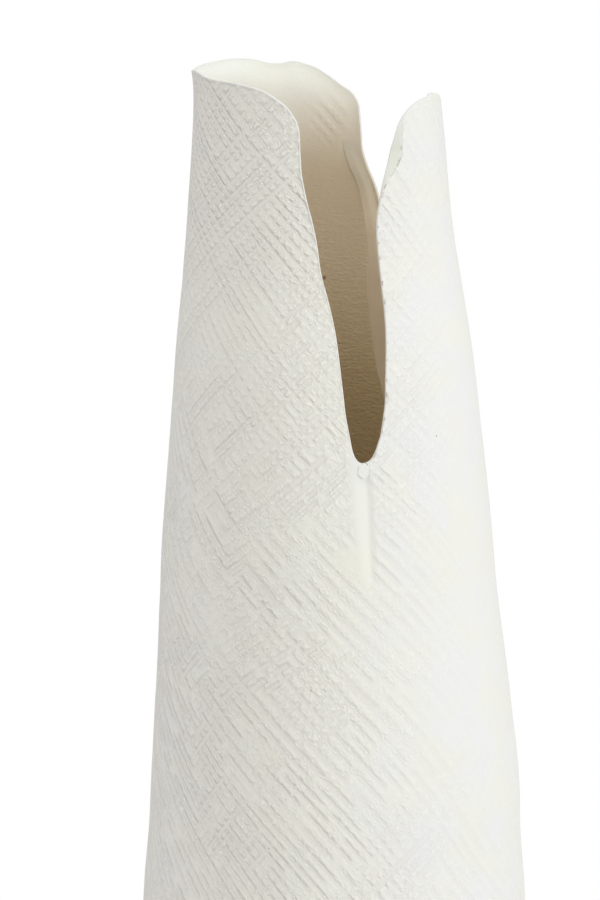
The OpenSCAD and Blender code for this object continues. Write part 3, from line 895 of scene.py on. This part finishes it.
def mapped(place, **changes):
    """Place moved, turned or scaled."""
    return add(place.tree, "Mapping", {"Vector": place, **changes})[0]


def ramp(value, low, high, to_low=0.0, to_high=1.0):
    """Value carried from one range to another, eased at both ends and held outside."""
    return add(value.tree, "MapRange", {"Value": value, "From Min": low, "From Max": high, "To Min": to_low,
                                        "To Max": to_high}, interpolation_type="SMOOTHSTEP")[0]


def blend(share, first, second, how="MIX"):
    """Colour a share of the way from one to the other."""
    return add(share.tree, "Mix", {0: share, 6: first, 7: second}, data_type="RGBA", blend_type=how)[2]


def noise(place, size, detail):
    """Noise whose lumps are about a size across, from 0 to 1."""
    return add(place.tree, "TexNoise", {"Vector": place, "Scale": 1 / size, "Detail": detail})["Fac"]


def group(name, numbers, results):
    """New node group from a place and numbers to results of the kinds Float or Color, and its two ends."""
    tree = bpy.data.node_groups.new(name, "ShaderNodeTree")
    sockets = [("Place", "INPUT", "Vector")] + [(number, "INPUT", "Float") for number in numbers]
    sockets += [(result, "OUTPUT", kind) for result, kind in results.items()]
    for socket, side, kind in sockets:
        tree.interface.new_socket(socket, in_out=side, socket_type="NodeSocket" + kind)
    given = {socket.name: Wire(socket) for socket in tree.nodes.new("NodeGroupInput").outputs}
    return tree, given, tree.nodes.new("NodeGroupOutput").inputs


def use(made, inputs):
    """Places a node group where its place comes from, and gives its outputs."""
    return add(inputs["Place"].tree, "Group", inputs, node_tree=made)


def linear(red, green, blue):
    """Colour written as on a screen, 0 to 255, turned into the linear light that shaders use."""
    share = np.array([red, green, blue]) / 255
    light = np.where(share <= 0.04045, share / 12.92, ((share + 0.055) / 1.055) ** 2.4)
    return (*light.tolist(), 1.0)


# %% [markdown]
# Scoring is a family of parallel furrows with rounded ridges left between them. The map is turned so that
# one axis runs along the strokes, and cut into lanes one pitch wide, with a ridge on each border. Each
# lane gets random numbers, which weaken its furrow a little and start a noise along it, so that a stroke
# presses in, lifts off and comes back. A slow noise bends all lanes together, as an arm does, another
# crowds or spreads them, and a fine one frays the ridges, because stiff clay tears a little. The output
# is the depth of the furrow.

# %% Group: scored strokes
CROWD_LENGTH = 14 * MM
CROWD_DRAWN_OUT = 0.06
SWAY_LENGTH = 130 * MM
FRAY_LENGTH = 1.8 * MM
LANE_SHIFT = 40
LANE_APART = 3.7
LIFT_EASE = 0.1
WEAKEST = 0.65

STROKE_NUMBERS = ["Turn", "Pitch", "Reach", "Sway", "Fray", "Ridge", "Lifted", "Seed"]
strokes, given, result = group("scored strokes", STROKE_NUMBERS, {"Depth": "Float"})
pitch, seed = given["Pitch"], given["Seed"]
along_x, across_y, _ = split("XYZ", rotated(given["Place"], given["Turn"]))
shifted = vector_calc("ADD", given["Place"], seed)["Vector"]
crowd = noise(join(along_x * CROWD_DRAWN_OUT, across_y, seed), CROWD_LENGTH, 0.0) - 0.5
sway = noise(shifted, SWAY_LENGTH, 0.0) - 0.5
fray = noise(shifted, FRAY_LENGTH, 1.0) - 0.5
swayed = crowd * pitch + (sway * given["Sway"] + across_y)
lane = (fray * given["Fray"] + swayed) / pitch
number = calc("FLOOR", lane)
draws = add(strokes, "TexWhiteNoise", {"W": number + seed}, noise_dimensions="1D")["Color"]
_, start, strength = split("Color", draws)
furrow = ramp(calc("ABSOLUTE", calc("FRACT", lane) - 0.5), 0.5 - given["Ridge"], 0.5, 1.0, 0.0)
press = noise(join(start * LANE_SHIFT + along_x / given["Reach"], number * LANE_APART, seed), 1.0, 1.0)
pressed = ramp(press, given["Lifted"] - LIFT_EASE, given["Lifted"] + LIFT_EASE)
put(result["Depth"], furrow * pressed * ramp(strength, 0.0, 1.0, WEAKEST, 1.0))
print("group scored strokes:", len(strokes.nodes), "nodes")

# %% [markdown]
# Bisque is porous and dry: under the strokes it has a fine grain, faint clouds where the kiln and the
# hands left warmer or cooler patches, and a few dark specks of iron. One group gives all three.

# %% Group: clay body
SPECK_RARITY = 6
SPECK_R = 0.035

clay, given, result = group("clay body", ["Grain", "Cloud", "Speck"],
                            {"Height": "Float", "Cloud": "Float", "Specks": "Float"})
place = given["Place"]
cells = add(clay, "TexVoronoi", {"Vector": place, "Scale": 1 / given["Speck"]})
speck_r = calc("POWER", split("Color", cells["Color"])[0], SPECK_RARITY) * SPECK_R
put(result["Height"], noise(place, given["Grain"], 3.0))
put(result["Cloud"], ramp(noise(place, given["Cloud"], 3.0), 0.3, 0.7))
put(result["Specks"], calc("LESS_THAN", cells["Distance"], speck_r))
print("group clay body:", len(clay.nodes), "nodes")

# %% [markdown]
# Inside, the clay is painted tanner towards the depth as painted shade, with a paler belt lower down as
# painted light that comes in through the slit, and near the mouth it is as pale as outside. The wall's
# inside and the strip over the seam share this tint, so that the strip fades into the wall where it thins
# out. So the tint is a group as well, from the height alone.

# %% Group: inside tint
# Height and tint of painted shade and light, from the depth of the vase up to its mouth
INSIDE_SHADING_TINTS = [(0.33, (221, 204, 167)), (0.375, (248, 237, 213)), (0.405, (240, 229, 205)),
                (0.43, (222, 208, 181)), (0.452, (244, 239, 226)), (0.474, (250, 255, 247))]

inside_shading, given, result = group("inside tint", [], {"Tint": "Color"})
tint = add(inside_shading, "ValToRGB", {"Fac": split("XYZ", given["Place"])[2] / WALL_H})["Color"]
stops = tint.socket.node.color_ramp.elements
while len(stops) < len(INSIDE_SHADING_TINTS):
    stops.new(0.5)
for stop, (z, screen_tint) in zip(stops, INSIDE_SHADING_TINTS):
    stop.position = z / WALL_H
    stop.color = linear(*screen_tint)
tint.socket.node.color_ramp.interpolation = "B_SPLINE"
put(result["Tint"], tint)
print("group inside tint:", len(inside_shading.nodes), "nodes")

# %% [markdown]
# The wall's material reads the slab map for the strokes and the values on the points for the rest. Two
# families of strokes cross: long ones that fall to the right and shorter ones that rise to the right,
# and where both were pressed in, small diamond nubs stay between them. Slow noises decide where each
# family was used, and a finer one, drawn out along the strokes, leaves beads of torn clay, which get a
# painted highlight. The furrows are tinted a little darker as painted shade, because a bump doesn't shade
# itself. The wiped zones lose all of it, and the inside has only a faint print of some strokes near the
# mouth, and the peel of a wiped face, which lies level because the hand went round. The middle of the
# front is painted a touch warmer, as painted light. The flake face on the petal and a broken ring round
# the pellet get painted shade.

# %% Sizes and tints of the scored clay
FALL_TURN = math.radians(48)
RISE_TURN = math.radians(-41)
# Turn, pitch, reach and seed of the falling and of the rising strokes, and what both share
FAMILIES = [(FALL_TURN, 4.5 * MM, 14 * MM, 3.0), (RISE_TURN, 4.3 * MM, 9 * MM, 17.0)]
STROKE_INPUTS = {"Sway": 30 * MM, "Fray": 0.45 * MM, "Ridge": 0.4}
STROKE_DEPTH = 0.52 * MM
FALLING_PATCH = 55 * MM
RISING_PATCH = 50 * MM
BEAD_PATCH = 16 * MM
PATCH_SHIFT = (0.7, 0.3, 0)
BEAD = 1.1 * MM
BEAD_DRAWN_OUT = 0.5
BEAD_DEPTH = 0.2 * MM
BURR = 2.6 * MM
BURR_DEPTH = 0.25 * MM
GRAIN = 0.6 * MM
GRAIN_DEPTH = 0.035 * MM
PEEL = 2.2 * MM
PEEL_DEPTH = 0.3 * MM
PRINT_DEPTH = 0.26 * MM
CREVICE = 2.5 * MM
CREVICE_DEPTH = 0.3 * MM
# Ramps over the height in metres: from, to, and the values there
LIFTED_UP = (0.32, 0.42, 0.41, 0.34)
FALLING_UP = [(0.3, 0.37, 1.0, 0.76), (0.385, 0.42, 1.0, 1.7)]
RISING_UP = (0.25, 0.42, 0, 0.2)
PEEL_UP = (0.37, 0.44, 1, 0.3)
# Ramps over a noise, or over the distance from the pellet's middle as a share of its size
WHERE_FALLING = (0.3, 0.5, 0.6, 1.0)
WHERE_RISING = (0.42, 0.62, 0.3, 1.0)
WHERE_BEADS = (0.35, 0.6, 0.25, 1.0)
BEADS_STAND = (0.5, 0.7)
BURR_STANDS = (0.5, 0.68)
CREVICE_OPEN = (0.45, 0.6, 0.05, 1)
CREVICE_OUT = (1.02, 1.17, 1, 0)
CREVICE_IN = (0.7, 0.8)
IVORY = linear(234, 235, 231)
WARM_IVORY = linear(236, 236, 226)
COOL_IVORY = linear(234, 235, 232)
# Painted shade for the bottoms of the furrows
FURROW_SHADE = linear(230, 229, 223)
# Painted highlight on the beads
BEAD_HIGHLIGHT = linear(246, 247, 242)
# Painted shade on the flake face of the petal
FLAKE_SHADE = linear(222, 225, 213)
# Painted shade in the crevice round the pellet
CREVICE_SHADE = linear(206, 202, 190)
BURR_TINT = linear(180, 173, 157)
SPECK = linear(138, 118, 90)
DEEP_CLOUD = (0.95, 0.93, 0.91, 1)
# Painted warm light on the middle of the front
FRONT_WARM_LIGHT = (1, 1, 0.96, 1)
FRONT_X = -22 * MM
FRONT_NEAR = 8 * MM
FRONT_FAR = 56 * MM
# Azimuth in degrees, height, depth below the outer face and size of the specks that are seen from afar
SPOTS = [(-6.7, 0.2273, 0, 0.0005), (-60.3, 0.2572, 0, 0.0005), (61.8, 0.1524, 0, 0.0004),
         (178.8, 0.3775, WALL_T, 0.0012)]
print(len(FAMILIES), "families of strokes,", len(SPOTS), "spots")

# %% [markdown]
# Two short functions start and finish every material. The wall's own is then written as what it is: a sum
# of heights for the bump, and a row of tints laid over each other.

# %% Material: scored clay
def new_material(name, roughness, specular=0.3):
    """Material, its Principled shader and its Object coordinates."""
    made = bpy.data.materials.new(name)
    made.use_nodes = True
    shader = made.node_tree.nodes["Principled BSDF"]
    shader.inputs["Roughness"].default_value = roughness
    shader.inputs["Specular IOR Level"].default_value = specular
    return made, shader, add(made.node_tree, "TexCoord")["Object"]


def finish(shader, tint, height):
    """Gives a shader its colour, and a bump from a height in metres."""
    bump = add(height.tree, "Bump", {"Height": height, "Distance": 1.0, "Strength": 1.0})
    put(shader.inputs["Base Color"], tint)
    put(shader.inputs["Normal"], bump["Normal"])


scored, shader, place = new_material("scored_clay", 0.86)
tree = place.tree
slab = add(tree, "UVMap", uv_map="slab")["UV"]
here = {name: add(tree, "Attribute", attribute_type="GEOMETRY", attribute_name=name)["Fac"]
        for name in point_values}
across_here, _, up_here = split("XYZ", place)
lifted = ramp(up_here, *LIFTED_UP)
falling, rising = [use(strokes, {"Place": slab, "Turn": turn, "Pitch": pitch, "Reach": reach, "Seed": seed,
                                 "Lifted": lifted, **STROKE_INPUTS})["Depth"]
                   for turn, pitch, reach, seed in FAMILIES]
where_falling = ramp(noise(slab, FALLING_PATCH, 1.0), *WHERE_FALLING)
for up_ramp in FALLING_UP:
    where_falling = where_falling * ramp(up_here, *up_ramp)
moved_slab = mapped(slab, Location=PATCH_SHIFT)
where_rising = ramp(noise(moved_slab, RISING_PATCH, 1.0) + ramp(up_here, *RISING_UP), *WHERE_RISING)
crossed = calc("SMOOTH_MAX", falling * where_falling, rising * where_rising, 0.15) * here["scored"]
drawn_out = mapped(rotated(slab, FALL_TURN), Scale=(BEAD_DRAWN_OUT, 1, 1))
beads = ramp(noise(drawn_out, BEAD, 1.0), *BEADS_STAND)
beads = beads * ramp(noise(moved_slab, BEAD_PATCH, 2.0), *WHERE_BEADS) * here["scored"]
printed = calc("MAXIMUM", rising, falling * 0.8) * here["printed"]
peel = noise(mapped(place, Scale=(1, 1, 2)), PEEL, 2.0) * here["inside"] * ramp(up_here, *PEEL_UP)
body = use(clay, {"Place": place, "Grain": GRAIN, "Cloud": 20 * MM, "Speck": 14 * MM})
from_pellet = vector_calc("SUBTRACT", place, pellet_centre.tolist())["Vector"]
sideways, upwards = [vector_calc("DOT_PRODUCT", from_pellet, way.tolist())["Value"] / half
                     for way, half in ((right, PELLET_W / 2), (up_wall, PELLET_H / 2))]
ring = calc("SQRT", sideways * sideways + upwards * upwards)
# The crevice round the pellet is a bump, and painted shade in the colour
crevice = ramp(ring, *CREVICE_OUT) * ramp(ring, *CREVICE_IN)
crevice = crevice * ramp(noise(place, CREVICE, 1.0), *CREVICE_OPEN)
burr = ramp(noise(place, BURR, 2.0), *BURR_STANDS) * here["torn"]
height = beads * BEAD_DEPTH - crossed * STROKE_DEPTH - printed * PRINT_DEPTH + peel * PEEL_DEPTH
height = height - crevice * CREVICE_DEPTH - burr * BURR_DEPTH + body["Height"] * GRAIN_DEPTH

colour = blend(body["Cloud"], COOL_IVORY, WARM_IVORY)
# Painted shade: the furrows are tinted darker, because a bump doesn't shade itself
colour = blend(crossed * 0.9, colour, FURROW_SHADE)
# Painted highlight: the beads are tinted paler
colour = blend(beads * 0.7, colour, BEAD_HIGHLIGHT)
# Painted light: the middle of the front is tinted warmer
from_front = calc("ABSOLUTE", across_here - FRONT_X)
colour = blend(ramp(from_front, FRONT_NEAR, FRONT_FAR, 1, 0), colour, FRONT_WARM_LIGHT, "MULTIPLY")
# The inside takes the painted shade and light of the inside tint, under faint clouds
inside = blend(body["Cloud"] * 0.45, use(inside_shading, {"Place": place})["Tint"], DEEP_CLOUD, "MULTIPLY")
# The flake face on the petal gets painted shade
layers = [(here["inside"], inside), (here["edge"] * 0.85, IVORY), (here["flaked"], FLAKE_SHADE),
          (crevice, CREVICE_SHADE), (burr, BURR_TINT), (body["Specks"] * 0.8, SPECK)]
for az, z, inset, size in SPOTS:
    away = vector_calc("DISTANCE", place, wall_point(np.radians(az), z, inset).tolist())["Value"]
    layers.append((ramp(body["Height"] * size + away, size, 1.4 * size, 0.75, 0), SPECK))
for share, over in layers:
    colour = blend(share, colour, over)
finish(shader, colour, height)
wall.data.materials.append(scored)
print("material scored_clay:", len(tree.nodes), "nodes")

# %% [markdown]
# The other clays are the same body, finished differently: the strips and the coil were smoothed with a
# wet thumb, so they are paler, with long soft drags along them, and the floor and the pellet are plain.
# One function makes them, from a pair of tints and the size and depth of the drags.

# %% Materials: smoothed, plain and pellet clay
# Heights between which the strip takes the wall's inside tint of painted shade and light, turns greyer as
# painted shade and loses that again
STRIP_FADED_Z = (0.405, 0.43)
STRIP_SHADE_Z = (0.411, 0.426)
STRIP_SHADE_END_Z = (0.44, 0.448)
STRIP_SHADE_GREY = (0.88, 0.91, 0.94, 1)
# Name, two tints, size, depth and drawing out of the drags, and the pieces
CLAYS = [
    ("smoothed_clay", (249, 238, 217), (251, 241, 222), 3 * MM, 0.15 * MM, 5,
     (seam_strip, dart_back, floor_ring)),
    ("plain_clay", (226, 216, 196), (231, 221, 202), 6 * MM, 0.3 * MM, 1, (floor_disc,)),
    ("pellet_clay", (233, 234, 227), (235, 235, 228), 1 * MM, 0.05 * MM, 1, (pellet,)),
]


def clay_material(name, low_tint, high_tint, drag_size, drag_depth, stretch_up):
    """Clay with clouds between two tints and drags drawn out along Z.

    Near the vase's mouth it takes the wall's inside tint of painted shade and light, and a band of painted
    shade makes it a little greyer where it is thin.
    """
    made, shader, place = new_material(name, 0.88)
    body = use(clay, {"Place": place, "Grain": GRAIN, "Cloud": 22 * MM, "Speck": 16 * MM})
    drags = noise(mapped(place, Scale=(1, 1, 1 / stretch_up)), drag_size, 2.0)
    up_here = split("XYZ", place)[2]
    tint = blend(body["Cloud"], linear(*low_tint), linear(*high_tint))
    tint = blend(ramp(up_here, *STRIP_FADED_Z), tint, use(inside_shading, {"Place": place})["Tint"])
    # Painted shade: a grey band near the top of the strip
    strip_shade = ramp(up_here, *STRIP_SHADE_Z) * ramp(up_here, *STRIP_SHADE_END_Z, 1, 0)
    tint = blend(strip_shade, tint, STRIP_SHADE_GREY, "MULTIPLY")
    tint = blend(body["Specks"] * 0.7, tint, SPECK)
    finish(shader, tint, body["Height"] * GRAIN_DEPTH + drags * drag_depth)
    return made


for *values, pieces in CLAYS:
    material = clay_material(*values)
    for piece in pieces:
        piece.data.materials.append(material)
print("clays:", ", ".join(row[0] for row in CLAYS))

# %% [markdown]
# Felt is matted wool: short fibres lying every way. Two noises, stretched across each other, give the
# fibres, and the higher fibres are coloured paler.

# %% Material: felt
FIBRE = 1.2 * MM
FIBRE_TURNS = (0.4, 1.9)
FIBRE_DRAWN_OUT = 6
FELT_DEPTH = 0.25 * MM
FELT_DARK = linear(112, 108, 104)
FELT_PALE = linear(138, 133, 127)

felt, shader, place = new_material("felt", 0.95)
fibres = [noise(mapped(place, Rotation=(0, 0, turn), Scale=(1, FIBRE_DRAWN_OUT, 1)), FIBRE, 2.0)
          for turn in FIBRE_TURNS]
fibre = calc("MAXIMUM", *fibres)
finish(shader, blend(ramp(fibre, 0.4, 0.7), FELT_DARK, FELT_PALE), fibre * FELT_DEPTH)
for pad in felt_pads:
    pad.data.materials.append(felt)
print("materials:", ", ".join(m.name for m in bpy.data.materials))

# %% [markdown]
# The room is a pale floor and soft light. The camera must see pure white behind the vase, but the floor
# should still carry the vase's shadow. So the floor is plain diffuse near the vase, and farther out it
# turns into white light for camera, glossy and see-through rays only. The world does the same above.

# %% Floor and world
FLOOR_HALF = 6.0
SHADOW_NEAR = 0.1
SHADOW_FAR = 0.32
PAPER = (0.9, 0.9, 0.9, 1)
WORLD_LEVEL = 0.635
WORLD_TINT = (1.0, 0.972, 0.985, 1)


def white_seen(tree):
    """1 on rays that come from the camera, a reflection or a transmission, else 0."""
    path = add(tree, "LightPath")
    bounced = calc("MAXIMUM", path["Is Glossy Ray"], path["Is Transmission Ray"])
    return calc("MAXIMUM", path["Is Camera Ray"], bounced)


def show_white(share, lit, kind, end):
    """Puts white light of a kind of node over what a lit node gives, by a share, at the tree's end node."""
    tree = share.tree
    white = add(tree, kind, {"Color": (1, 1, 1, 1), "Strength": 1.0})[0]
    shown = add(tree, "MixShader", {0: share, 1: Wire(lit.outputs[0]), 2: white})[0]
    put(tree.nodes[end].inputs["Surface"], shown)


floor_mesh = bpy.data.meshes.new("floor")
floor_corners = np.array([(-1, -1, 0), (1, -1, 0), (1, 1, 0), (-1, 1, 0)]) * FLOOR_HALF
floor_mesh.from_pydata(floor_corners, [], [(0, 1, 2, 3)])
floor = bpy.data.objects.new("floor", floor_mesh)
bpy.context.scene.collection.objects.link(floor)
floor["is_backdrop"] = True
paper, shader, place = new_material("pale_floor", 1.0, 0.0)
shader.inputs["Base Color"].default_value = PAPER
far = ramp(vector_calc("LENGTH", place)["Value"], SHADOW_NEAR, SHADOW_FAR)
show_white(far * white_seen(place.tree), shader, "Emission", "Material Output")
floor.data.materials.append(paper)

world = bpy.data.worlds.new("soft_room")
bpy.context.scene.world = world
world.use_nodes = True
lit = world.node_tree.nodes["Background"]
lit.inputs["Color"].default_value = WORLD_TINT
lit.inputs["Strength"].default_value = WORLD_LEVEL
show_white(white_seen(world.node_tree), lit, "Background", "World Output")
print(f"floor {2 * FLOOR_HALF:.0f} m wide, world at {WORLD_LEVEL}")

# %% [markdown]
# Two broad lamps light the vase, as in a small studio. The main one stands to the right of the camera,
# a little above the vase, and gives the bright right flank and the soft shade on the left. The second
# hangs high on the left, and brings out the scoring there. The camera looks down at the vase by 13 degrees
# from 2 m. Its lens comes from the scale of the photograph: 0.43 mm of vase to a pixel at that distance.

# %% Lamps and camera
CENTRE = np.array([-15.48 * MM, 0, 315.32 * MM])
LAMP_AWAY = 2.2
LAMP_SIZE = 1.3
# Name, azimuth and rise in degrees, watts, colour
LAMPS = [("right_lamp", 63, 15, 16.1, (0.93, 0.96, 1.0)),
         ("high_lamp", -26, 68, 13.4, (0.985, 1.0, 0.95))]
LOOK_DOWN = math.radians(13.2)
CAMERA_AWAY = 2.0
PICTURE_H = 900
PIXEL = 0.43 * MM
SENSOR = 36


def aim(thing, az, rise, away):
    """Puts a lamp or camera at an azimuth, a rise and a distance from the vase's middle, looking at it."""
    stand = np.array([math.cos(rise) * math.sin(az), -math.cos(rise) * math.cos(az), math.sin(rise)])
    place = CENTRE + away * stand
    thing.location = place
    thing.rotation_euler = Vector(CENTRE - place).to_track_quat("-Z", "Y").to_euler()
    bpy.context.scene.collection.objects.link(thing)


for name, az, rise, watts, tint in LAMPS:
    lamp = bpy.data.lights.new(name, "AREA")
    lamp.shape = "DISK"
    lamp.size = LAMP_SIZE
    lamp.energy = watts
    lamp.color = tint
    aim(bpy.data.objects.new(name, lamp), math.radians(az), math.radians(rise), LAMP_AWAY)

camera_data = bpy.data.cameras.new("camera")
camera_data.sensor_fit = "VERTICAL"
camera_data.sensor_height = SENSOR
camera_data.lens = SENSOR * (CAMERA_AWAY / PIXEL) / PICTURE_H
camera = bpy.data.objects.new("camera", camera_data)
aim(camera, 0, LOOK_DOWN, CAMERA_AWAY)
bpy.context.scene.camera = camera
bpy.context.scene.view_settings.view_transform = "Standard"
bpy.context.scene.cycles.diffuse_bounces = 8
print(f"lens {camera_data.lens:.1f} mm")

# %% [markdown]
# The last cell prints the boxes of the frame and of the finished vase.

# %% Print both boxes
seen_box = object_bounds()
for label, box in (("frame", cad_box), ("visual", seen_box)):
    print(label, [[round(v / MM, 2) for v in corner] for corner in box])
